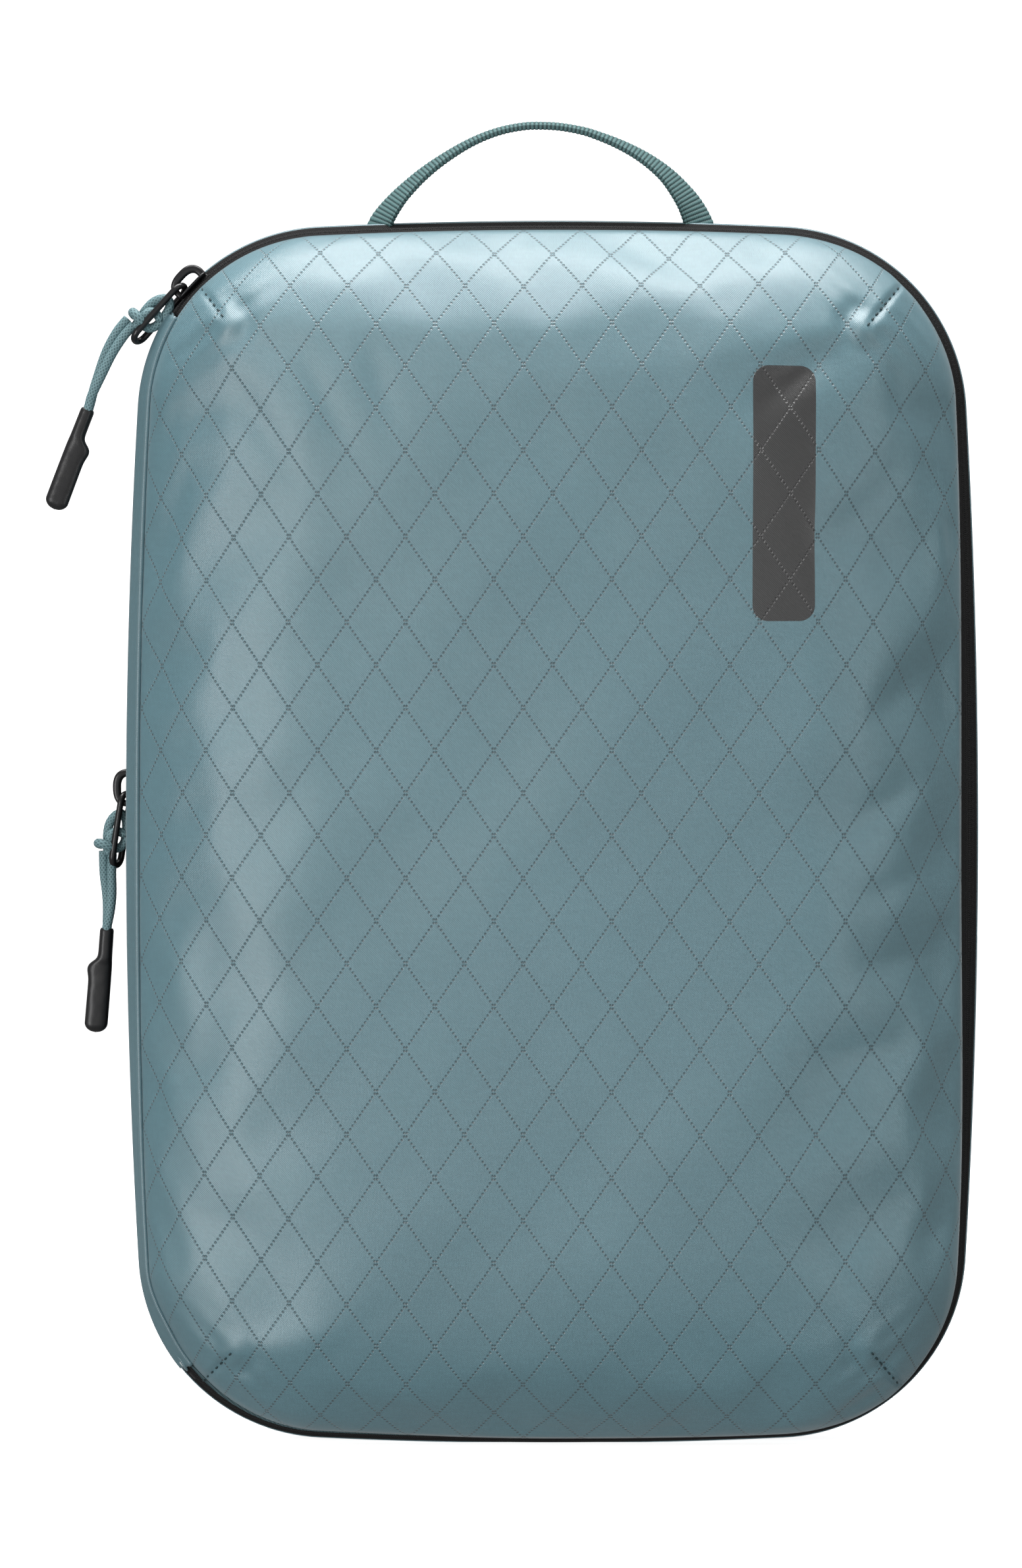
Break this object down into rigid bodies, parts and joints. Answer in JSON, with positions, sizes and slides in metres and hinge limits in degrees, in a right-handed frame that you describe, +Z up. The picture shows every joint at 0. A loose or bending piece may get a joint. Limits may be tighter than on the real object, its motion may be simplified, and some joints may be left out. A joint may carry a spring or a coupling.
{
  "type": "packing cube",
  "caption": "Upright soft-sided packing cube with a domed zip-open lid, a second perimeter zipper over a pleated gusset, corded zipper pulls and a webbing handle",
  "frame": {"origin": "middle of the flat strip on the lower side band where the cube stands, at the joint between lid zipper and front band", "axes": "+Z up towards the webbing handle, -Y out of the front lid, +X to the right seen from the front"},
  "size_m": [0.2742, 0.078, 0.3885],
  "materials": {
    "lid_fabric": "fine twill with a dotted diamond pattern, slight sheen",
    "shell_fabric": "fine twill, slight sheen",
    "seam_binding": "woven binding tape",
    "zipper_tape": "matte woven tape",
    "zipper_coil": "nylon coil",
    "painted_hardware": "satin black paint",
    "grip_rubber": "fine matte moulding",
    "braided_cord": "tight round braid",
    "webbing": "ribbed woven webbing"
  },
  "bodies": {
    "rear_shell": {"back_panel": "shell_fabric", "rear_side_band": "shell_fabric", "comp_tape_rear": "zipper_tape", "comp_coil_rear": "zipper_coil", "comp_end_stop": "painted_hardware", "comp_start_pin": "painted_hardware", "expansion_gusset": "shell_fabric", "rear_seam_binding": "seam_binding"},
    "front_shell": {"front_side_band": "shell_fabric", "main_tape_body": "zipper_tape", "main_coil_body": "zipper_coil", "main_top_stop": "painted_hardware", "main_bottom_stop": "painted_hardware", "comp_tape_front": "zipper_tape", "comp_coil_front": "zipper_coil", "spine_panel": "shell_fabric", "zip_end_tab_upper": "shell_fabric", "zip_end_tab_lower": "shell_fabric", "handle_anchors": "webbing"},
    "lid": {"front_panel": "lid_fabric", "main_tape_lid": "zipper_tape", "main_coil_lid": "zipper_coil", "lid_seam_roll": "shell_fabric", "front_seam_binding": "seam_binding"},
    "main_slider_body": {"main_slider": "painted_hardware"},
    "main_ring_body": {"main_ring": "painted_hardware"},
    "main_pull": {"main_knot": "braided_cord", "main_cord_front": "braided_cord", "main_cord_rear": "braided_cord", "main_grip": "grip_rubber"},
    "comp_slider_body": {"comp_slider": "painted_hardware"},
    "comp_ring_body": {"comp_ring": "painted_hardware"},
    "comp_pull": {"comp_knot": "braided_cord", "comp_cord_front": "braided_cord", "comp_cord_rear": "braided_cord", "comp_grip": "grip_rubber"},
    "handle": {"handle_webbing": "webbing"}
  },
  "joints": [
    {"name": "expansion", "type": "slide", "parent": "rear_shell", "child": "front_shell", "axis": [0, -1, 0], "range_m": [0, 0.03], "deforming": ["expansion_gusset"]},
    {"name": "lid_hinge", "type": "hinge", "parent": "front_shell", "child": "lid", "pos_m": [-0.1255, -0.006, 0.1797], "axis": [0, 0, -1], "range_deg": [0, 120], "deforming": ["spine_panel"]},
    {"name": "main_slider_travel", "type": "hinge", "parent": "front_shell", "child": "main_slider_body", "pos_m": [-0.066, -0.006, 0.3021], "axis": [0, 1, 0], "range_deg": [0, 42]},
    {"name": "main_ring_swing", "type": "hinge", "parent": "main_slider_body", "child": "main_ring_body", "pos_m": [-0.10803, -0.006, 0.34005], "axis": [0, 1, 0], "range_deg": [0, 60]},
    {"name": "main_pull_swing", "type": "hinge", "parent": "main_ring_body", "child": "main_pull", "pos_m": [-0.11672, -0.006, 0.3328], "axis": [0, 1, 0], "range_deg": [-10, 25]},
    {"name": "comp_slider_travel", "type": "hinge", "parent": "rear_shell", "child": "comp_slider_body", "pos_m": [2.0725, 0.012, 0.1797], "axis": [0, -1, 0], "range_deg": [0, 3]},
    {"name": "comp_ring_swing", "type": "hinge", "parent": "comp_slider_body", "child": "comp_ring_body", "pos_m": [-0.1261, 0.012, 0.191], "axis": [0, 1, 0], "range_deg": [0, 60]},
    {"name": "comp_pull_swing", "type": "hinge", "parent": "comp_ring_body", "child": "comp_pull", "pos_m": [-0.12938, 0.012, 0.18017], "axis": [0, 1, 0], "range_deg": [0, 40]},
    {"name": "handle_swing", "type": "hinge", "parent": "front_shell", "child": "handle", "pos_m": [-0.003, 0.003, 0.3619], "axis": [1, 0, 0], "range_deg": [-60, 60]}
  ]
}
